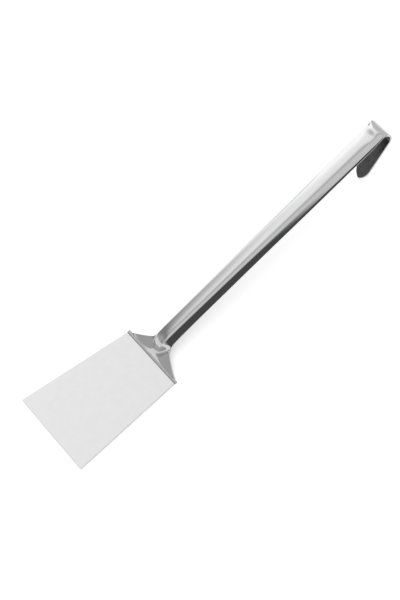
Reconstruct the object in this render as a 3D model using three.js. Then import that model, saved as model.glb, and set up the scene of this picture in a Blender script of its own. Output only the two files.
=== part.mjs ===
import * as THREE from 'three';

// Kitchen turner: a flat satin blade, and a polished handle pressed from one strip of sheet,
// with a flared neck at the blade and a hook at the far end. A weld bead across the heel joins them.
// Sizes are in millimetres. +X runs from the blade to the hook, +Y across the tool and +Z up.
// The tool lies as it does on a table: on its heel and on the end of the hook's tongue.

// ---- Driving dimensions ----

// Blade: a trapezoid of thin sheet, wider at the front.
const BLADE_LENGTH = 109.5;
const BLADE_FRONT_WIDTH = 90;
const BLADE_REAR_WIDTH = 70;
const BLADE_SHEET = 1.5;
const BLADE_CORNER_RADIUS = 1;

// Handle: the strip's thickness, its rise from the blade's plane, and where the neck ends.
const HANDLE_SHEET = 2;
const HANDLE_RISE_DEGREES = 13.3;
const NECK_REACH = 16;
const NECK_HEIGHT = 18.5;
const GRIP_LENGTH = 254;

// Grip: a channel that opens downwards and gets shallower and wider towards the hook.
const GRIP_HALF_WIDTH_AT_NECK = 9.9;
const GRIP_HALF_WIDTH_AT_HOOK = 11.1;
const RIM_DROP_AT_NECK = 7.3;
const RIM_DROP_AT_HOOK = 2.8;
const CROWN_HALF_WIDTH = 6;
const CROWN_ARCH_SLOPE = 0.35;
const CROWN_ARCH_WIDTH = 8;
const CORNER_SOFTNESS = 1.2;
const CHANNEL_END_LENGTH = 16;

// Neck: a short step up from the blade and two flat wings, which spread to the blade's full width.
const STEP_SLOPE = 0.95;
const STEP_LENGTH = 2.3;
const STEP_EXTRA_AT_NOSE = 3.2;
const STEP_EXTRA_HALF_WIDTH = 9;
const STEP_SOFTNESS = 0.8;
const WING_SLOPE = 0.47;
const WING_SOFTNESS = 1;
const WING_FALL = 12;
const WING_FALL_START = -8;
const WING_FALL_LENGTH = 24;

// Nose: the steep front of the crown, which rises between the wings.
const NOSE_LENGTH = 14.5;
const NOSE_SLOPE = 1.05;
const NOSE_TOP = -4;
const NOSE_TOP_SOFTNESS = 4;
const NOSE_FOOT_SOFTNESS = 1.3;
const NOSE_NARROWING = 0.45;

// Shoulders: how fast the strip widens from the grip to the foot, and how softly it starts to.
const SHOULDER_SOFTNESS = 3;
const SHOULDER_SPREAD = 1.81;
const INNER_LINES_SHARE = 0.3;

// Hook: the bend's outer radius, how far it is left open, and the tongue behind it.
const HOOK_OUTER_RADIUS = 8.2;
const BEND_FLATTENING_DEGREES = 50;
const TONGUE_ANGLE_DEGREES = 34.5;
const TONGUE_LENGTH = 46;
const STRIP_HALF_WIDTH_BEFORE_BEND = 10.6;
const TONGUE_ROOT_HALF_WIDTH = 11.4;
const TONGUE_END_HALF_WIDTH = 6.9;
const TONGUE_ROUND_LENGTH = 11.4;

// Weld bead: its width along the tool on either side of the joint line, and the clearance at its faces.
const SEAM_ON_BLADE_SIDE = 0.8;
const SEAM_ON_HANDLE_SIDE = 1.5;
const SEAM_END_INSET = 0.8;
const HEEL_FLAT = 1.2;
const JOINT_CLEARANCE = 0.3;

// ---- Small formulas ----

const degrees = THREE.MathUtils.degToRad;
const mix = THREE.MathUtils.lerp;

function ease(x) {
  return THREE.MathUtils.smoothstep(x, 0, 1);
}

// Zero on one side, rising in a straight line on the other, with a soft corner between.
function softRamp(x, softness) {
  return (x + Math.hypot(x, softness)) / 2;
}

// ---- The handle's upper surface, in the handle's own frame ----
// "along" runs along the grip's crown from the neck's end, and "height" is measured from that crown line.

const handleRise = degrees(HANDLE_RISE_DEGREES);
const footAlong = -(NECK_REACH * Math.cos(handleRise) + NECK_HEIGHT * Math.sin(handleRise));
const footHeight = NECK_REACH * Math.sin(handleRise) - NECK_HEIGHT * Math.cos(handleRise);

// How far from the neck (0) to the hook (1) a place on the grip is.
function gripShare(along) {
  return THREE.MathUtils.clamp(along / GRIP_LENGTH, 0, 1);
}

// The wings: up the step, which is longer in front of the nose, then along a gentle slope.
function wingHeight(along, y) {
  const past = along - footAlong;
  const length = STEP_LENGTH + STEP_EXTRA_AT_NOSE * Math.exp(-((y / STEP_EXTRA_HALF_WIDTH) ** 2));
  const step = softRamp(past, STEP_SOFTNESS) - softRamp(0, STEP_SOFTNESS);
  const easeOff = softRamp(past - length, WING_SOFTNESS) - softRamp(-length, WING_SOFTNESS);
  const bladePlane = footHeight - past * Math.tan(handleRise);
  return bladePlane + STEP_SLOPE * step - (STEP_SLOPE - WING_SLOPE) * easeOff;
}

// The crown line: up the nose, which bends over softly into the straight grip.
function crownHeight(along) {
  return -NOSE_SLOPE * softRamp(NOSE_TOP - along, NOSE_TOP_SOFTNESS);
}

// Half the strip's width: the blade's at the foot, drawn in by the shoulders to the grip's.
function stripHalfWidth(along) {
  const grip = mix(GRIP_HALF_WIDTH_AT_NECK, GRIP_HALF_WIDTH_AT_HOOK, gripShare(along));
  const spread = BLADE_REAR_WIDTH / 2 - GRIP_HALF_WIDTH_AT_NECK;
  const shoulderAlong = footAlong + spread / SHOULDER_SPREAD;
  const shoulder = SHOULDER_SPREAD * softRamp(shoulderAlong - along, SHOULDER_SOFTNESS);
  const bendShare = ease((along - GRIP_LENGTH) / CHANNEL_END_LENGTH + 1);
  return mix(grip + shoulder, STRIP_HALF_WIDTH_BEFORE_BEND, bendShare);
}

function crownArch(y) {
  return CROWN_ARCH_SLOPE * (Math.hypot(y, CROWN_ARCH_WIDTH) - CROWN_ARCH_WIDTH);
}

// How far out on the flank a place is, past the corner where the crown ends.
function flankRun(y) {
  const atMiddle = softRamp(-CROWN_HALF_WIDTH, CORNER_SOFTNESS);
  return softRamp(Math.abs(y) - CROWN_HALF_WIDTH, CORNER_SOFTNESS) - atMiddle;
}

// How far the channel lies below the crown line at a distance y from the middle.
function channelDrop(along, y) {
  const share = gripShare(along);
  const rim = mix(GRIP_HALF_WIDTH_AT_NECK, GRIP_HALF_WIDTH_AT_HOOK, share);
  const rimDrop = mix(RIM_DROP_AT_NECK, RIM_DROP_AT_HOOK, share);
  const steepness = (rimDrop - crownArch(rim)) / flankRun(rim);
  const narrow = 1 - NOSE_NARROWING * ease(-along / NOSE_LENGTH);
  return narrow * (crownArch(y / narrow) + steepness * flankRun(y / narrow));
}

// Sideways place of a lengthwise line of the surface; side runs from -1 to 1.
// The outer lines fan out over the wings, and the inner ones stay with the crown.
function sidewaysPlace(side, halfWidth, gripHalfWidth) {
  const outer = Math.max(0, (Math.abs(side) - INNER_LINES_SHARE) / (1 - INNER_LINES_SHARE)) ** 2;
  return side * gripHalfWidth + Math.sign(side) * outer * (halfWidth - gripHalfWidth);
}

function gripPoint(along, side) {
  const grip = mix(GRIP_HALF_WIDTH_AT_NECK, GRIP_HALF_WIDTH_AT_HOOK, gripShare(along));
  const y = sidewaysPlace(side, stripHalfWidth(along), grip);
  const fall = WING_FALL * ease((along - WING_FALL_START) / WING_FALL_LENGTH);
  const wing = wingHeight(Math.min(along, 0), y) - fall;
  const ridge = crownHeight(along) - channelDrop(along, y);
  return new THREE.Vector3(along, y, wing + softRamp(ridge - wing, NOSE_FOOT_SOFTNESS));
}

// ---- The hook's outer surface: a bend, then a straight tongue with a rounded end ----

const hookTurn = Math.PI - degrees(TONGUE_ANGLE_DEGREES);

function bendPoint(angle, side) {
  const widthShare = ease(angle / (Math.PI / 2));
  const y = side * mix(STRIP_HALF_WIDTH_BEFORE_BEND, TONGUE_ROOT_HALF_WIDTH, widthShare);
  const flattened = ease(angle / degrees(BEND_FLATTENING_DEGREES));
  const radius = HOOK_OUTER_RADIUS - channelDrop(GRIP_LENGTH, y) * (1 - flattened);
  const height = radius * Math.cos(angle) - HOOK_OUTER_RADIUS;
  return new THREE.Vector3(GRIP_LENGTH + radius * Math.sin(angle), y, height);
}

function tongueHalfWidth(distance) {
  const straight = mix(TONGUE_ROOT_HALF_WIDTH, TONGUE_END_HALF_WIDTH, distance / TONGUE_LENGTH);
  const roundShare = Math.max(0, (distance - TONGUE_LENGTH) / TONGUE_ROUND_LENGTH + 1);
  return straight * Math.sqrt(1 - roundShare ** 2);
}

function tonguePoint(distance, side) {
  const start = bendPoint(hookTurn, 0);
  const along = start.x + distance * Math.cos(hookTurn);
  return new THREE.Vector3(along, side * tongueHalfWidth(distance), start.z - distance * Math.sin(hookTurn));
}

// ---- The handle as a sheet: stations along the strip, each a row of places across it ----

// Evenly spaced numbers from first to last, both included.
function spaced(first, last, steps) {
  return Array.from({ length: steps + 1 }, (_, i) => mix(first, last, i / steps));
}

const seamEndAlong = footAlong + SEAM_ON_HANDLE_SIDE;
const handleStartAlong = seamEndAlong + JOINT_CLEARANCE;
const channelEndAlong = GRIP_LENGTH - CHANNEL_END_LENGTH;
const tongueRoundStart = TONGUE_LENGTH - TONGUE_ROUND_LENGTH;
const LAST_ROUND_ANGLE = degrees(80);

const stations = [
  ...spaced(handleStartAlong, 6, 32).map((along) => [gripPoint, along]),
  ...spaced(6, channelEndAlong, 20).slice(1).map((along) => [gripPoint, along]),
  ...spaced(channelEndAlong, GRIP_LENGTH, 6).slice(1, -1).map((along) => [gripPoint, along]),
  ...spaced(0, hookTurn, 14).map((angle) => [bendPoint, angle]),
  ...spaced(0, tongueRoundStart, 6).slice(1).map((distance) => [tonguePoint, distance]),
  ...spaced(0, LAST_ROUND_ANGLE, 8).slice(1).map((angle) => [
    tonguePoint,
    tongueRoundStart + TONGUE_ROUND_LENGTH * Math.sin(angle),
  ]),
];

// The surface's outward direction, from how it runs along the strip and across it.
function outward(pointAt, place, side) {
  const step = 1e-3;
  const lengthwise = pointAt(place + step, side).sub(pointAt(place - step, side));
  const across = pointAt(place, side + step).sub(pointAt(place, side - step));
  return lengthwise.cross(across).normalize();
}

function innerPoint(pointAt, place, side) {
  const lift = outward(pointAt, place, side).multiplyScalar(HANDLE_SHEET);
  return pointAt(place, side).sub(lift);
}

// Straight through the sheet at the weld, the same over the whole width, so that both faces are parallel.
function throughJoint(point) {
  const direction = outward(gripPoint, seamEndAlong, 1).setY(0).setLength(HANDLE_SHEET);
  return point.clone().sub(direction);
}

// Joins closed rings of equal length into a skin, and shuts both ends with a strip of faces.
// Each ring runs along its upper points from -Y to +Y and back along its lower points.
function skinGeometry(rings) {
  const count = rings[0].length;
  const half = count / 2;
  const faces = [];
  for (let r = 0; r + 1 < rings.length; r += 1) {
    for (let i = 0; i < count; i += 1) {
      const here = r * count + i;
      const beside = r * count + (i + 1) % count;
      faces.push(here, here + count, beside, beside, here + count, beside + count);
    }
  }
  const last = (rings.length - 1) * count;
  for (let i = 0; i + 1 < half; i += 1) {
    const below = count - 1 - i;
    faces.push(i, i + 1, below, i + 1, below - 1, below);
    faces.push(last + i, last + below, last + i + 1, last + i + 1, last + below, last + below - 1);
  }
  const geometry = new THREE.BufferGeometry();
  const positions = rings.flat().flatMap((point) => point.toArray());
  geometry.setAttribute('position', new THREE.Float32BufferAttribute(positions, 3));
  geometry.setIndex(faces);
  geometry.computeVertexNormals();
  return geometry;
}

const SIDES = spaced(-1, 1, 22);

function makeHandle() {
  const rings = stations.map(([pointAt, place], i) => {
    const upper = SIDES.map((side) => pointAt(place, side));
    const inner = SIDES.map((side) => innerPoint(pointAt, place, side));
    const lower = i === 0 ? upper.map(throughJoint) : inner;
    return [...upper, ...lower.reverse()];
  });
  const polished = new THREE.MeshStandardMaterial({ color: 0xc4c6c8, roughness: 0.08, metalness: 1 });
  const mesh = new THREE.Mesh(skinGeometry(rings), polished);
  mesh.name = 'handle';
  return mesh;
}

// ---- Blade: a trapezoid extruded upwards by its thickness, in the blade's own frame ----
// Its rear face stands just in front of the weld bead, and z = 0 is its underside.

const bladeRearX = -SEAM_ON_BLADE_SIDE - JOINT_CLEARANCE;

function makeBlade() {
  const front = BLADE_FRONT_WIDTH / 2;
  const taper = (front - BLADE_REAR_WIDTH / 2) / BLADE_LENGTH;
  const rear = BLADE_REAR_WIDTH / 2 - taper * bladeRearX;
  const corners = [[-BLADE_LENGTH, front], [-BLADE_LENGTH, -front]].map(([x, y]) => new THREE.Vector2(x, y));
  const outline = new THREE.Shape();
  outline.moveTo(bladeRearX, -rear);
  outline.lineTo(bladeRearX, rear);
  corners.forEach((corner, i) => {
    const before = i === 0 ? new THREE.Vector2(bladeRearX, rear) : corners[0];
    const after = i === 0 ? corners[1] : new THREE.Vector2(bladeRearX, -rear);
    const entry = before.clone().sub(corner).setLength(BLADE_CORNER_RADIUS).add(corner);
    const exit = after.clone().sub(corner).setLength(BLADE_CORNER_RADIUS).add(corner);
    outline.lineTo(entry.x, entry.y);
    outline.quadraticCurveTo(corner.x, corner.y, exit.x, exit.y);
  });
  outline.closePath();
  const geometry = new THREE.ExtrudeGeometry(outline, {
    depth: BLADE_SHEET,
    bevelEnabled: false,
    curveSegments: 4,
  });
  const satin = new THREE.MeshStandardMaterial({ color: 0xd2d3d4, roughness: 0.38, metalness: 1 });
  const mesh = new THREE.Mesh(geometry, satin);
  mesh.name = 'blade';
  return mesh;
}

// ---- Weld bead: fills the joint between the blade's rear face and the foot of the neck ----
// Its top carries the surface from the blade into the neck, and its flat underside is the heel.

// A place on or under the handle's strip, seen in the blade's frame.
function toBladeFrame(point) {
  return point
    .clone()
    .applyAxisAngle(new THREE.Vector3(0, 1, 0), -handleRise)
    .add(new THREE.Vector3(NECK_REACH, 0, BLADE_SHEET + NECK_HEIGHT));
}

function seamProfile() {
  const topLine = spaced(footAlong, seamEndAlong, 4).map((along) => (
    new THREE.Vector3(along, 0, wingHeight(along, 0))
  ));
  const top = topLine.map((point) => {
    const place = toBladeFrame(point);
    return new THREE.Vector2(place.x, place.z);
  });
  const under = toBladeFrame(throughJoint(topLine.at(-1)));
  const heelEnd = new THREE.Vector2(HEEL_FLAT, 0);
  const outline = new THREE.Shape();
  outline.moveTo(-SEAM_ON_BLADE_SIDE, 0);
  outline.lineTo(-SEAM_ON_BLADE_SIDE, BLADE_SHEET);
  top.forEach((place) => outline.lineTo(place.x, place.y));
  outline.lineTo(under.x, under.z);
  outline.quadraticCurveTo(mix(heelEnd.x, under.x, 0.7), 0, heelEnd.x, heelEnd.y);
  outline.closePath();
  return outline;
}

const seamWidth = BLADE_REAR_WIDTH - 2 * SEAM_END_INSET;

function makeSeam() {
  const geometry = new THREE.ExtrudeGeometry(seamProfile(), {
    depth: seamWidth,
    bevelEnabled: false,
    curveSegments: 5,
  });
  geometry.rotateX(Math.PI / 2);
  geometry.translate(0, seamWidth / 2, 0);
  const weld = new THREE.MeshStandardMaterial({ color: 0xb4b6b8, roughness: 0.25, metalness: 1 });
  const mesh = new THREE.Mesh(geometry, weld);
  mesh.name = 'weld_seam';
  return mesh;
}

// ---- The whole tool, laid on its heel and its tongue ----

// The angle that brings the heel's and the tongue's lowest points to the same level.
function restingTilt() {
  const heel = seamProfile().getPoints(5);
  const tongue = stations.slice(-16).map(([pointAt, place]) => {
    const under = toBladeFrame(pointAt(place, 0));
    return new THREE.Vector2(under.x, under.z);
  });
  const lowest = (points, tilt) => Math.min(...points.map((p) => p.y * Math.cos(tilt) - p.x * Math.sin(tilt)));
  let low = 0;
  let high = Math.PI / 4;
  for (let i = 0; i < 50; i += 1) {
    const middle = (low + high) / 2;
    if (lowest(tongue, middle) > lowest(heel, middle)) {
      low = middle;
    } else {
      high = middle;
    }
  }
  return low;
}

function makeTurner() {
  const handleFrame = new THREE.Group();
  handleFrame.position.set(NECK_REACH, 0, BLADE_SHEET + NECK_HEIGHT);
  handleFrame.rotation.y = -handleRise;
  handleFrame.add(makeHandle());

  const tool = new THREE.Group();
  tool.add(makeBlade(), makeSeam(), handleFrame);
  tool.rotation.y = restingTilt();

  // The origin is on the table, under the middle of the tool's box.
  const box = new THREE.Box3().setFromObject(tool, true);
  const middle = box.getCenter(new THREE.Vector3());
  tool.position.set(-middle.x, -middle.y, -box.min.z);

  const turner = new THREE.Group();
  turner.add(tool);
  return turner;
}

export default makeTurner();
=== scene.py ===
from math import atan2, copysign, cos, exp, hypot, pi, radians, sin, sqrt, tan

import bpy
from mathutils import Matrix, Vector


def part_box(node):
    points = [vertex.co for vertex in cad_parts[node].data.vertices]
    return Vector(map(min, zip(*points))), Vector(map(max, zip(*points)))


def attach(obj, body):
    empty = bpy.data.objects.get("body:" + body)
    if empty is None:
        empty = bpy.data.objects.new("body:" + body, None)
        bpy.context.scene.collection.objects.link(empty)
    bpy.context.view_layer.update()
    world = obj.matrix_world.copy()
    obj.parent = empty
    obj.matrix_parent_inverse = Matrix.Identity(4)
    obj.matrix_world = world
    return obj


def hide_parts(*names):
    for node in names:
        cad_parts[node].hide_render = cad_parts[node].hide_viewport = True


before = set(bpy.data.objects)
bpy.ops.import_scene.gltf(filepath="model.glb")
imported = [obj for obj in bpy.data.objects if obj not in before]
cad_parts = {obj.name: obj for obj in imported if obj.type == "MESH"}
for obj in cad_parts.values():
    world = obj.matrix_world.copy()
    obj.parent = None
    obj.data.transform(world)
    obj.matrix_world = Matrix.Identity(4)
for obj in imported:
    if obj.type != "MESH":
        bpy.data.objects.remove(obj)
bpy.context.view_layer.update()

# ---------------------------------------------------------------------------------------------
# Blade: a trapezoid of thin stainless sheet, wider at the front, with a satin finish.
# It is sheared from flat stock, its edges are broken by tumbling, and its back is welded on.
# ---------------------------------------------------------------------------------------------

# Sizes are in millimetres. The blade's frame starts at the joint, in the middle of its underside.
MM = 0.001
BLADE_LENGTH = 109.5
BLADE_FRONT_WIDTH = 90.0
BLADE_REAR_WIDTH = 70.0
BLADE_REAR_X = -0.35
BLADE_SHEET = 1.5
BLADE_EDGE_ROUND = 0.4
BLADE_EDGE_STEPS = 4
BLADE_FRONT_CORNER_RADIUS = 1.2
BLADE_FRONT_CORNER_STEPS = 8
BLADE_REAR_CORNER_RADIUS = 0.4
BLADE_REAR_CORNER_STEPS = 4

# The tool rests on its heel, so the blade's front is raised by this angle.
REST_TILT = radians(7.385)
blade_low, blade_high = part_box("blade")
heel_x = blade_low[0] / MM + BLADE_LENGTH * cos(REST_TILT)
heel_z = blade_high[2] / MM - BLADE_LENGTH * sin(REST_TILT) - BLADE_SHEET * cos(REST_TILT)


def laid_down(x, y, z):
    """A place in the blade's own frame, in millimetres, where it is on the table, in metres."""
    return Vector((
        (heel_x + x * cos(REST_TILT) + z * sin(REST_TILT)) * MM,
        y * MM,
        (heel_z - x * sin(REST_TILT) + z * cos(REST_TILT)) * MM,
    ))


def mix(a, b, share):
    """The value that lies this share of the way from a to b."""
    return a + (b - a) * share


def new_piece(name, verts, faces):
    """A piece of the tool made from mesh data, riding on its one rigid body."""
    mesh = bpy.data.meshes.new(name)
    mesh.from_pydata([tuple(v) for v in verts], [], faces)
    mesh.polygons.foreach_set("use_smooth", [True] * len(mesh.polygons))
    mesh.update()
    piece = bpy.data.objects.new(name, mesh)
    bpy.context.scene.collection.objects.link(piece)
    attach(piece, "root")
    return piece


def skin(rings):
    """Quads between rings of equal length, and a cap over the first and last ring."""
    count = len(rings[0])
    verts = [v for ring in rings for v in ring]
    faces = []
    for r in range(len(rings) - 1):
        for i in range(count):
            here, beside = r * count + i, r * count + (i + 1) % count
            faces.append((here, beside, beside + count, here + count))
    faces.append(tuple(reversed(range(count))))
    faces.append(tuple(range((len(rings) - 1) * count, len(rings) * count)))
    return verts, faces


def arc(x, y, radius, start, end, steps):
    """Points round a corner with their outward directions."""
    turns = [mix(start, end, k / steps) for k in range(steps + 1)]
    return [(x + radius * cos(t), y + radius * sin(t), cos(t), sin(t)) for t in turns]


def blade_outline():
    """Points round the blade with their outward directions, counter-clockwise from above."""
    front, rear = BLADE_FRONT_WIDTH / 2, BLADE_REAR_WIDTH / 2
    taper = atan2(front - rear, BLADE_LENGTH)
    side = pi / 2 - taper
    front_x = BLADE_FRONT_CORNER_RADIUS - BLADE_LENGTH
    front_y = front - BLADE_FRONT_CORNER_RADIUS * (1 + sin(taper)) / cos(taper)
    rear_x = BLADE_REAR_X - BLADE_REAR_CORNER_RADIUS
    rear_y = mix(rear, front, -BLADE_REAR_X / BLADE_LENGTH) - BLADE_REAR_CORNER_RADIUS
    front_corner = BLADE_FRONT_CORNER_RADIUS
    rear_corner = BLADE_REAR_CORNER_RADIUS
    return (
        arc(rear_x, rear_y, rear_corner, 0, side, BLADE_REAR_CORNER_STEPS)
        + arc(front_x, front_y, front_corner, side, pi, BLADE_FRONT_CORNER_STEPS)
        + arc(front_x, -front_y, front_corner, pi, 2 * pi - side, BLADE_FRONT_CORNER_STEPS)
        + arc(rear_x, -rear_y, rear_corner, 2 * pi - side, 2 * pi, BLADE_REAR_CORNER_STEPS)
    )


def rounded_plate(outline, thickness, edge_round, steps):
    """Rings round a flat plate with rounded edges, from its underside up to its top."""
    rings = []
    for i in range(2 * steps + 2):
        lower = i <= steps
        turn = (i if lower else i - 1) / (2 * steps) * pi
        inset = edge_round * (1 - sin(turn))
        z = edge_round * (1 - cos(turn)) if lower else thickness - edge_round * (1 + cos(turn))
        rings.append([laid_down(x - nx * inset, y - ny * inset, z) for x, y, nx, ny in outline])
    return rings


verts, faces = skin(rounded_plate(
    blade_outline(), BLADE_SHEET, BLADE_EDGE_ROUND, BLADE_EDGE_STEPS))
blade = new_piece("blade_sheet", verts, faces)
# The two flat faces are shaded flat, and only the quads of the rounded edge are smooth.
for polygon in blade.data.polygons:
    polygon.use_smooth = len(polygon.vertices) == 4
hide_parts("blade")


def steel_grain_group():
    """Marks of rolling and polishing: fine lines along the tool, and soft cloudy patches."""
    group = bpy.data.node_groups.new("steel_grain", "ShaderNodeTree")
    for name, value in (("Line Scale", 900.0), ("Line Stretch", 0.03), ("Cloud Scale", 25.0)):
        socket = group.interface.new_socket(
            name, in_out="INPUT", socket_type="NodeSocketFloat")
        socket.default_value = value
    for name in ("Lines", "Clouds"):
        group.interface.new_socket(name, in_out="OUTPUT", socket_type="NodeSocketFloat")
    nodes, links = group.nodes, group.links
    values = nodes.new("NodeGroupInput")
    result = nodes.new("NodeGroupOutput")
    place = nodes.new("ShaderNodeTexCoord")
    stretch = nodes.new("ShaderNodeCombineXYZ")
    stretch.inputs["Y"].default_value = 1
    stretch.inputs["Z"].default_value = 1
    links.new(values.outputs["Line Stretch"], stretch.inputs["X"])
    squeezed = nodes.new("ShaderNodeVectorMath")
    squeezed.operation = "MULTIPLY"
    links.new(place.outputs["Object"], squeezed.inputs[0])
    links.new(stretch.outputs[0], squeezed.inputs[1])
    lines = nodes.new("ShaderNodeTexNoise")
    lines.inputs["Detail"].default_value = 4
    lines.inputs["Roughness"].default_value = 0.65
    links.new(squeezed.outputs[0], lines.inputs["Vector"])
    links.new(values.outputs["Line Scale"], lines.inputs["Scale"])
    clouds = nodes.new("ShaderNodeTexNoise")
    clouds.inputs["Detail"].default_value = 3
    links.new(place.outputs["Object"], clouds.inputs["Vector"])
    links.new(values.outputs["Cloud Scale"], clouds.inputs["Scale"])
    links.new(lines.outputs["Fac"], result.inputs["Lines"])
    links.new(clouds.outputs["Fac"], result.inputs["Clouds"])
    return group


steel_grain = steel_grain_group()

# The grain's values lie mostly between these two, so tone and roughness change over that range.
GRAIN_LOW = 0.3
GRAIN_HIGH = 0.7
# How much bluer than grey the dark and the light steel are.
DARK_COOLNESS = 1.01
LIGHT_COOLNESS = 1.005


def steel(name, dark, light, tone_from, roughness, bump, **grain_values):
    """Bare steel whose tone, roughness and fine relief follow the grain group."""
    material = bpy.data.materials.new(name)
    material.use_nodes = True
    nodes, links = material.node_tree.nodes, material.node_tree.links
    shader = nodes["Principled BSDF"]
    shader.inputs["Metallic"].default_value = 1
    grain = nodes.new("ShaderNodeGroup")
    grain.node_tree = steel_grain
    for key, value in grain_values.items():
        grain.inputs[key.replace("_", " ")].default_value = value
    tone = nodes.new("ShaderNodeValToRGB")
    tone_low, tone_high = tone.color_ramp.elements
    tone_low.position = GRAIN_LOW
    tone_low.color = (dark, dark, dark * DARK_COOLNESS, 1)
    tone_high.position = GRAIN_HIGH
    tone_high.color = (light, light, light * LIGHT_COOLNESS, 1)
    links.new(grain.outputs[tone_from], tone.inputs["Fac"])
    links.new(tone.outputs["Color"], shader.inputs["Base Color"])
    rough = nodes.new("ShaderNodeMapRange")
    rough.inputs["From Min"].default_value = GRAIN_LOW
    rough.inputs["From Max"].default_value = GRAIN_HIGH
    rough.inputs["To Min"].default_value = roughness[0]
    rough.inputs["To Max"].default_value = roughness[1]
    links.new(grain.outputs["Clouds"], rough.inputs["Value"])
    links.new(rough.outputs["Result"], shader.inputs["Roughness"])
    relief = nodes.new("ShaderNodeBump")
    relief.inputs["Strength"].default_value = bump
    relief.inputs["Distance"].default_value = 0.00005
    links.new(grain.outputs["Lines"], relief.inputs["Height"])
    links.new(relief.outputs["Normal"], shader.inputs["Normal"])
    return material


blade.data.materials.append(steel(
    "satin_steel", dark=0.66, light=0.70, tone_from="Clouds", roughness=(0.33, 0.37), bump=0.25,
    Line_Scale=1400, Cloud_Scale=110))

# ---------------------------------------------------------------------------------------------
# Handle: one strip of 2 mm stainless sheet, pressed, mirror polished above and left as a rougher
# mill finish inside, whose near-black tone there is painted shade. A foot as wide as the blade's
# back draws in over a flared neck to a grip that is a channel open below, and the strip's end is
# bent into a hook with a rounded tongue.
# ---------------------------------------------------------------------------------------------

# The handle's frame starts above and behind the joint. It runs along the grip, which rises.
HANDLE_SHEET = 2.0
HANDLE_RISE = radians(13.3)
NECK_REACH = 16.0
NECK_HEIGHT = 18.5
HANDLE_START_PAST_JOINT = 1.55

# The grip's channel: an arched crown, a corner on each side, and flanks down to the rims.
GRIP_LENGTH = 254.0
GRIP_HALF_WIDTH_AT_NECK = 9.9
GRIP_HALF_WIDTH_AT_HOOK = 11.1
RIM_DROP_AT_NECK = 7.3
RIM_DROP_AT_HOOK = 2.8
CROWN_HALF_WIDTH = 6.0
CROWN_ARCH_SLOPE = 0.35
CROWN_ARCH_WIDTH = 8.0
CORNER_SOFTNESS = 1.2

# From the grip's middle on, the rims turn down in a narrow lip. A shallow dip lies by the hook.
RIM_LIP_WIDTH = 1.0
RIM_LIP_SLOPE = 0.75
RIM_LIP_SOFTNESS = 0.3
RIM_LIP_START = 110.0
RIM_LIP_RUN_IN = 60.0
HOOK_DIP = 0.55
HOOK_DIP_ALONG = 247.5
HOOK_DIP_LENGTH = 5.5
HOOK_DIP_HALF_WIDTH = 7.0

# The neck: a step up from the blade, two wings beside a steep nose, and flared shoulders.
STEP_SLOPE = 0.95
STEP_LENGTH = 2.3
STEP_EXTRA_AT_NOSE = 3.2
STEP_EXTRA_HALF_WIDTH = 9.0
STEP_SOFTNESS = 0.8
STEP_BOW = 3.0
STEP_BOW_POWER = 4
WING_SLOPE = 0.47
WING_SOFTNESS = 1.0
WING_FALL = 12.0
WING_FALL_START = -8.0
WING_FALL_LENGTH = 24.0
NOSE_LENGTH = 14.5
NOSE_SLOPE = 1.05
NOSE_TOP = -4.0
NOSE_TOP_SOFTNESS = 4.0
NOSE_FOOT_SOFTNESS = 1.3
NOSE_NARROWING = 0.45
SHOULDER_SPREAD = 1.81
SHOULDER_SOFTNESS = 3.0

# Lines along the strip this near its middle run straight, and those outside them fan out.
INNER_LINES_SHARE = 0.3

# The hook: the channel flattens as the strip goes round the bend, and the tongue tapers.
CHANNEL_END_LENGTH = 16.0
BEND_FLATTENING = radians(50)
HOOK_OUTER_RADIUS = 8.2
STRIP_HALF_WIDTH_BEFORE_BEND = 10.6
TONGUE_ANGLE = radians(34.5)
TONGUE_LENGTH = 46.0
TONGUE_ROOT_HALF_WIDTH = 11.4
TONGUE_END_HALF_WIDTH = 6.9
TONGUE_ROUND_LENGTH = 11.4

# The tongue's rounded end stops at this turn, just short of its tip, and a cap closes it.
TONGUE_LAST_TURN = radians(86)

# The sheet's edges bulge a little, and less where the strip is very narrow. Near them the faces
# draw in by as much, so that the strip keeps its width.
EDGE_BULGE = 0.6
EDGE_BULGE_FADE_HALF_WIDTH = 3
EDGE_SQUARENESS = 0.7
EDGE_PULL_POWER = 6

# How finely the strip is divided: across one half, round an edge, and along each stretch.
SIDES = 44
EDGE_STEPS = 12
NECK_STEPS_END = 8
NECK_STEPS = 84
GRIP_STEPS = 96
CHANNEL_END_STEPS = 24
BEND_STEPS = 48
TONGUE_STEPS = 16
TONGUE_ROUND_STEPS = 24

foot_along = -(NECK_REACH * cos(HANDLE_RISE) + NECK_HEIGHT * sin(HANDLE_RISE))
foot_height = NECK_REACH * sin(HANDLE_RISE) - NECK_HEIGHT * cos(HANDLE_RISE)


def in_blade_frame(along, height):
    """Where a place in the handle's frame lies in the blade's frame: its x and z."""
    x = NECK_REACH + along * cos(HANDLE_RISE) - height * sin(HANDLE_RISE)
    z = BLADE_SHEET + NECK_HEIGHT + along * sin(HANDLE_RISE) + height * cos(HANDLE_RISE)
    return x, z


def ease(x):
    """A smooth rise from 0 to 1 while x goes from 0 to 1."""
    x = min(1.0, max(0.0, x))
    return x * x * (3 - 2 * x)


def soft_ramp(x, softness):
    """Nearly 0 while x is below 0 and nearly x above it, with a soft corner between them."""
    return (x + hypot(x, softness)) / 2


def grip_share(along):
    return min(1.0, max(0.0, along / GRIP_LENGTH))


def grip_half_width(along):
    return mix(GRIP_HALF_WIDTH_AT_NECK, GRIP_HALF_WIDTH_AT_HOOK, grip_share(along))


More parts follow.
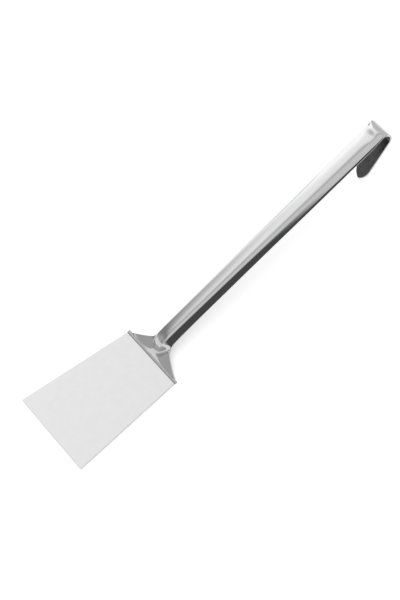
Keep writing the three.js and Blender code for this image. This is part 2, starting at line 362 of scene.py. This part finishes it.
def wing_height(along, y=0.0):
    """The wings: a short steep step up from the blade, then a gentle slope beside the crown.
    The step bows away from the blade towards the foot's two ends, which stay flat."""
    past = along - foot_along
    bow = STEP_BOW * min(1.0, abs(y) / (BLADE_REAR_WIDTH / 2)) ** STEP_BOW_POWER
    past_step = past - bow
    step = soft_ramp(past_step, STEP_SOFTNESS) - soft_ramp(0, STEP_SOFTNESS)
    length = STEP_LENGTH + STEP_EXTRA_AT_NOSE * exp(-(y / STEP_EXTRA_HALF_WIDTH) ** 2)
    ease_off = soft_ramp(past_step - length, WING_SOFTNESS) - soft_ramp(-length, WING_SOFTNESS)
    blade_plane = foot_height - past * tan(HANDLE_RISE)
    return blade_plane + STEP_SLOPE * step - (STEP_SLOPE - WING_SLOPE) * ease_off


def crown_height(along):
    """The crown line: up a steep nose, which bends over softly into the straight grip."""
    return -NOSE_SLOPE * soft_ramp(NOSE_TOP - along, NOSE_TOP_SOFTNESS)


def strip_half_width(along):
    """Half the strip's width: from the foot over the shoulders to the grip, then to the bend."""
    spread = BLADE_REAR_WIDTH / 2 - GRIP_HALF_WIDTH_AT_NECK
    shoulder_along = foot_along + spread / SHOULDER_SPREAD
    shoulder = SHOULDER_SPREAD * soft_ramp(shoulder_along - along, SHOULDER_SOFTNESS)
    bend_share = ease((along - GRIP_LENGTH) / CHANNEL_END_LENGTH + 1)
    return mix(grip_half_width(along) + shoulder, STRIP_HALF_WIDTH_BEFORE_BEND, bend_share)


def crown_arch(y):
    return CROWN_ARCH_SLOPE * (hypot(y, CROWN_ARCH_WIDTH) - CROWN_ARCH_WIDTH)


def flank_run(y):
    """How far out on the flank a place is, past the corner where the crown ends."""
    at_middle = soft_ramp(-CROWN_HALF_WIDTH, CORNER_SOFTNESS)
    return soft_ramp(abs(y) - CROWN_HALF_WIDTH, CORNER_SOFTNESS) - at_middle


def channel_drop(along, y):
    """How far the channel's top lies below the crown line, at a distance y from the middle."""
    rim = grip_half_width(along)
    rim_drop = mix(RIM_DROP_AT_NECK, RIM_DROP_AT_HOOK, grip_share(along))
    steepness = (rim_drop - crown_arch(rim)) / flank_run(rim)
    narrow = 1 - NOSE_NARROWING * ease(-along / NOSE_LENGTH)
    dip_along = (along - HOOK_DIP_ALONG) / HOOK_DIP_LENGTH
    dip = HOOK_DIP * exp(-dip_along ** 2 - (y / HOOK_DIP_HALF_WIDTH) ** 2)
    lip_slope = RIM_LIP_SLOPE * ease((along - RIM_LIP_START) / RIM_LIP_RUN_IN)
    lip = lip_slope * soft_ramp(abs(y) - rim + RIM_LIP_WIDTH, RIM_LIP_SOFTNESS)
    return narrow * (crown_arch(y / narrow) + steepness * flank_run(y / narrow)) + lip + dip


def grip_surface(along, side):
    """The neck and grip. Side goes from -1 to 1, and its outer part spreads over the shoulders."""
    grip = grip_half_width(along)
    outer = max(0.0, (abs(side) - INNER_LINES_SHARE) / (1 - INNER_LINES_SHARE)) ** 2
    y = side * grip + copysign(outer, side) * (strip_half_width(along) - grip)
    wing_fall = WING_FALL * ease((along - WING_FALL_START) / WING_FALL_LENGTH)
    wing = wing_height(min(along, 0), y) - wing_fall
    ridge = crown_height(along) - channel_drop(along, y)
    return Vector((along, y, wing + soft_ramp(ridge - wing, NOSE_FOOT_SOFTNESS)))


def bend_surface(angle, side):
    """The hook's bend, by the angle turned since the grip's end."""
    half = mix(STRIP_HALF_WIDTH_BEFORE_BEND, TONGUE_ROOT_HALF_WIDTH, ease(angle / (pi / 2)))
    drop = channel_drop(GRIP_LENGTH, side * half) * (1 - ease(angle / BEND_FLATTENING))
    radius = HOOK_OUTER_RADIUS - drop
    x = GRIP_LENGTH + radius * sin(angle)
    return Vector((x, side * half, radius * cos(angle) - HOOK_OUTER_RADIUS))


hook_turn = pi - TONGUE_ANGLE
tongue_start = bend_surface(hook_turn, 0)


def tongue_surface(distance, side):
    """The flat tongue, by the distance from the bend: straight sides, then an elliptic end."""
    straight = mix(TONGUE_ROOT_HALF_WIDTH, TONGUE_END_HALF_WIDTH, distance / TONGUE_LENGTH)
    round_share = max(0.0, (distance - TONGUE_LENGTH) / TONGUE_ROUND_LENGTH + 1)
    half = straight * sqrt(max(0.0, 1 - round_share ** 2))
    run = Vector((cos(hook_turn), 0, -sin(hook_turn)))
    return tongue_start + distance * run + Vector((0, side * half, 0))


def places(first, last, steps):
    """Evenly spaced places, both ends included."""
    return [mix(first, last, i / steps) for i in range(steps + 1)]


def handle_stations():
    """Every place along the strip, each with the formula that shapes it there."""
    start = foot_along + HANDLE_START_PAST_JOINT
    channel_end = GRIP_LENGTH - CHANNEL_END_LENGTH
    round_start = TONGUE_LENGTH - TONGUE_ROUND_LENGTH
    grip = places(start, NECK_STEPS_END, NECK_STEPS)
    grip += places(NECK_STEPS_END, channel_end, GRIP_STEPS)[1:]
    grip += places(channel_end, GRIP_LENGTH, CHANNEL_END_STEPS)[1:-1]
    tongue = places(0, round_start, TONGUE_STEPS)[1:]
    for turn in places(0, TONGUE_LAST_TURN, TONGUE_ROUND_STEPS)[1:]:
        tongue.append(round_start + TONGUE_ROUND_LENGTH * sin(turn))
    stations = [(grip_surface, along) for along in grip]
    stations += [(bend_surface, angle) for angle in places(0, hook_turn, BEND_STEPS)]
    return stations + [(tongue_surface, distance) for distance in tongue]


def lift(surface, place, side):
    """The surface's outward direction."""
    step = 1e-4
    lengthwise = surface(place + step, side) - surface(place - step, side)
    across = surface(place, side + step) - surface(place, side - step)
    return lengthwise.cross(across).normalized()


def edge_outwards(surface, place, edge):
    """The direction in the sheet that points away from it, square to its edge at 1 or -1."""
    step = 1e-3
    lengthwise = surface(place + step, edge) - surface(place - step, edge)
    return edge * lift(surface, place, edge).cross(lengthwise).normalized()


def strip_ring(surface, place):
    """One closed ring round the strip: its top, one rounded edge, its underside, the other."""
    outwards = {edge: edge_outwards(surface, place, edge) for edge in (1.0, -1.0)}
    half = abs(surface(place, 1).y)
    bulge = EDGE_BULGE * min(1.0, half / EDGE_BULGE_FADE_HALF_WIDTH)
    top, under = [], []
    for i in range(-SIDES, SIDES + 1):
        side = i / SIDES
        pull = bulge * abs(side) ** EDGE_PULL_POWER
        spot = surface(place, side) - outwards[copysign(1, side)] * pull
        top.append(spot)
        under.append(spot - lift(surface, place, side) * HANDLE_SHEET)

    def rounded_edge(start, end, edge):
        middle, arm = (start + end) / 2, (start - end) / 2
        return [
            middle
            + arm * copysign(abs(cos(turn)) ** EDGE_SQUARENESS, cos(turn))
            + outwards[edge] * bulge * sin(turn) ** EDGE_SQUARENESS
            for turn in places(0, pi, EDGE_STEPS)[1:-1]
        ]

    right = rounded_edge(top[-1], under[-1], 1.0)
    left = rounded_edge(under[0], top[0], -1.0)
    return top + right + under[::-1] + left


def from_handle_frame(point):
    """A place in the handle's frame, on the table. What would dip under the table is ground off."""
    x, z = in_blade_frame(point.x, point.z)
    place = laid_down(x, point.y, z)
    place.z = max(place.z, 0)
    return place


rings = [[from_handle_frame(p) for p in strip_ring(*station)] for station in handle_stations()]
verts, faces = skin(rings)
# These rings run the other way round than the blade's, so the faces are turned over.
handle = new_piece("handle_pressing", verts, [tuple(reversed(f)) for f in faces])
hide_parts("handle")
handle.data.materials.append(steel(
    "mirror_steel", dark=0.54, light=0.56, tone_from="Lines", roughness=(0.05, 0.08), bump=0.02,
    Line_Scale=700))
# The underside's roughness is its real mill finish, and its near-black tone is painted shade inside
# the channel and on the tongue.
handle.data.materials.append(steel(
    "underside_painted_shade_steel", dark=0.05, light=0.09, tone_from="Lines", roughness=(0.24, 0.34),
    bump=0.2, Line_Scale=500, Line_Stretch=0.1))

# The strip's underside takes the second material, whose near-black tone is painted shade.
# The two caps come after the wall's faces.
ring_size = len(rings[0])
wall_faces = ring_size * (len(rings) - 1)
underside = range(2 * SIDES + EDGE_STEPS, 4 * SIDES + EDGE_STEPS)
for index, polygon in enumerate(handle.data.polygons):
    if index < wall_faces and index % ring_size in underside:
        polygon.material_index = 1

# ---------------------------------------------------------------------------------------------
# Weld seam: the filler metal that joins the blade to the handle's foot over their full width.
# It is ground flush under the heel, and above it is dressed to a small polished hollow.
# ---------------------------------------------------------------------------------------------

SEAM_FRONT = -0.3
SEAM_GAP_TO_HANDLE = 0.05
SEAM_HOLLOW_STEPS = 8
SEAM_BACK_RUN = 1.4
SEAM_BACK_DROP = 1.45
HEEL_FLAT = 1.2
HEEL_ROUND_LIFT = 0.25
SEAM_END_INSET = 0.1
SEAM_END_LENGTH = 0.5


def seam_profile():
    """The bead's outline in the blade's frame, from its front foot over the hollow to the heel."""
    seam_back = foot_along + HANDLE_START_PAST_JOINT - SEAM_GAP_TO_HANDLE
    hollow = [
        in_blade_frame(along, wing_height(along))
        for along in places(foot_along, seam_back, SEAM_HOLLOW_STEPS)
    ]
    back_x, back_z = hollow[-1]
    under_x, under_z = back_x + SEAM_BACK_RUN, back_z - SEAM_BACK_DROP
    heel = [(mix(under_x, HEEL_FLAT, 0.5), HEEL_ROUND_LIFT), (HEEL_FLAT, 0)]
    return [(SEAM_FRONT, 0), (SEAM_FRONT, BLADE_SHEET)] + hollow + [(under_x, under_z)] + heel


seam_end = BLADE_REAR_WIDTH / 2 - SEAM_END_INSET
seam_body = seam_end - SEAM_END_LENGTH
verts, faces = skin([
    [laid_down(x, y, z) for x, z in seam_profile()]
    for y in (-seam_end, -seam_body, 0, seam_body, seam_end)
])
seam = new_piece("weld_bead", verts, faces)
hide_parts("weld_seam")
seam.data.materials.append(steel(
    "weld_steel", dark=0.44, light=0.52, tone_from="Lines", roughness=(0.15, 0.25), bump=0.3,
    Line_Stretch=1.0))

# ---------------------------------------------------------------------------------------------
# Stage: a plain white table that glows a little, a sky whose brightness changes with direction
# as the lights and walls of a studio do, and a camera with a long lens.
# ---------------------------------------------------------------------------------------------

# These three are in metres.
TABLE_LENGTH = 1.6
TABLE_WIDTH = 1.5
TABLE_SHIFT = 0.25

bpy.ops.mesh.primitive_plane_add(size=1, location=(0, TABLE_SHIFT, 0))
table = bpy.context.object
table.name = "table"
table.scale = (TABLE_LENGTH, TABLE_WIDTH, 1)
paint = bpy.data.materials.new("table_paint")
paint.use_nodes = True
table_shader = paint.node_tree.nodes["Principled BSDF"]
table_shader.inputs["Base Color"].default_value = (0.9, 0.9, 0.9, 1)
table_shader.inputs["Roughness"].default_value = 0.7
table_shader.inputs["Emission Color"].default_value = (1, 1, 1, 1)
table_shader.inputs["Emission Strength"].default_value = 0.5
table.data.materials.append(paint)

world = bpy.data.worlds.new("studio")
bpy.context.scene.world = world
world.use_nodes = True
sky = world.node_tree


def sky_node(kind, **settings):
    node = sky.nodes.new(kind)
    for key, value in settings.items():
        setattr(node, key, value)
    return node


def sky_ramp(value, start, end, low=0.0, high=1.0):
    """A soft step of brightness from low to high, as value goes from start to end."""
    node = sky_node("ShaderNodeMapRange", interpolation_type="SMOOTHSTEP")
    sky.links.new(value, node.inputs["Value"])
    if start > end:
        start, end, low, high = end, start, high, low
    node.inputs["From Min"].default_value = start
    node.inputs["From Max"].default_value = end
    node.inputs["To Min"].default_value = low
    node.inputs["To Max"].default_value = high
    return node.outputs["Result"]


def sky_math(operation, a, b):
    node = sky_node("ShaderNodeMath", operation=operation)
    for place, value in zip(node.inputs, (a, b)):
        if isinstance(value, (int, float)):
            place.default_value = value
        else:
            sky.links.new(value, place)
    return node.outputs[0]


def sky_mix(low, high, share):
    """A brightness that goes from low to high as share goes from 0 to 1."""
    rise = sky_math("MULTIPLY", sky_math("SUBTRACT", high, low), share)
    return sky_math("ADD", rise, low)


# A direction's x points to the hook, its y to the far side and its z up, each from -1 to 1.
direction = sky_node("ShaderNodeSeparateXYZ")
sky.links.new(sky_node("ShaderNodeTexCoord").outputs["Generated"], direction.inputs[0])
sky_x, sky_y, sky_z = direction.outputs

CEILING_SLANT = 0.2
CEILING_SLANT_CENTRE = 0.5
DARK_BAND_DEPTH = 0.25
HOOK_SIDE_BRIGHTNESS = 0.85
NEAR_SIDE_BRIGHTNESS = 0.10
LIGHT_BOX_BRIGHTNESS = 1.1
BACKDROP_BRIGHTNESS = 1.05

# The ceiling light above the tool: brighter on the far side, cut off along a slanting line.
from_centre = sky_math("SUBTRACT", sky_y, CEILING_SLANT_CENTRE)
skewed_x = sky_math("SUBTRACT", sky_x, sky_math("MULTIPLY", from_centre, CEILING_SLANT))
far_light = sky_ramp(skewed_x, start=-0.20, end=-0.04, low=0.35, high=1.36)
far_growth = sky_math(
    "MULTIPLY", sky_ramp(sky_x, start=-0.05, end=0.05, high=0.35),
    sky_ramp(sky_y, start=0.5, end=0.85))
far_light = sky_math("ADD", far_light, far_growth)
near_light = sky_ramp(skewed_x, start=-0.22, end=-0.08, low=0.45, high=0.95)
light = sky_mix(near_light, far_light, sky_ramp(sky_y, start=0.12, end=0.42))

# A darker band crosses the ceiling between its near and its far light.
band = sky_math(
    "MULTIPLY", sky_ramp(sky_y, start=0.02, end=0.15), sky_ramp(sky_y, start=0.30, end=0.17))
light = sky_math("SUBTRACT", light, sky_math("MULTIPLY", band, DARK_BAND_DEPTH))

# An even wall on the hook's side, a dark one on the near side, and a faint glow past the blade.
light = sky_mix(light, HOOK_SIDE_BRIGHTNESS, sky_ramp(sky_x, start=0.25, end=0.45))
light = sky_mix(NEAR_SIDE_BRIGHTNESS, light, sky_ramp(sky_y, start=-0.82, end=-0.5))
light = sky_math("ADD", light, sky_ramp(sky_x, start=-0.2, end=-0.45, high=0.22))

# A bright light box stands low on the blade's side.
light_box = sky_math(
    "MULTIPLY", sky_ramp(sky_x, start=-0.45, end=-0.7), sky_ramp(sky_z, start=0.52, end=0.25))
brightness = sky_mix(light, LIGHT_BOX_BRIGHTNESS, light_box)

# What the camera sees directly is an even pale backdrop.
seen_directly = sky_node("ShaderNodeLightPath").outputs["Is Camera Ray"]
brightness = sky_mix(brightness, BACKDROP_BRIGHTNESS, seen_directly)
sky.nodes["Background"].inputs["Color"].default_value = (1, 1, 1, 1)
sky.links.new(brightness, sky.nodes["Background"].inputs["Strength"])

# The camera's distance and aim are in metres.
CAMERA_AZIMUTH = radians(-9.184)
CAMERA_ELEVATION = radians(59.998)
CAMERA_ROLL = radians(-33.07)
CAMERA_DISTANCE = 1.74784
CAMERA_AIM = Vector((-0.02002, 0.01201, 0))

towards = Vector((
    cos(CAMERA_ELEVATION) * sin(CAMERA_AZIMUTH),
    -cos(CAMERA_ELEVATION) * cos(CAMERA_AZIMUTH),
    sin(CAMERA_ELEVATION),
))
level_right = Vector((cos(CAMERA_AZIMUTH), sin(CAMERA_AZIMUTH), 0))
level_up = towards.cross(level_right)
right = cos(CAMERA_ROLL) * level_right + sin(CAMERA_ROLL) * level_up
up = towards.cross(right)
camera = bpy.data.objects.new("camera", bpy.data.cameras.new("camera"))
bpy.context.scene.collection.objects.link(camera)
camera.matrix_world = Matrix.Translation(CAMERA_AIM + CAMERA_DISTANCE * towards) @ Matrix(
    (right, up, towards)).transposed().to_4x4()
camera.data.lens = 120
camera.data.sensor_width = 36
bpy.context.scene.camera = camera
bpy.context.scene.view_settings.view_transform = "Standard"
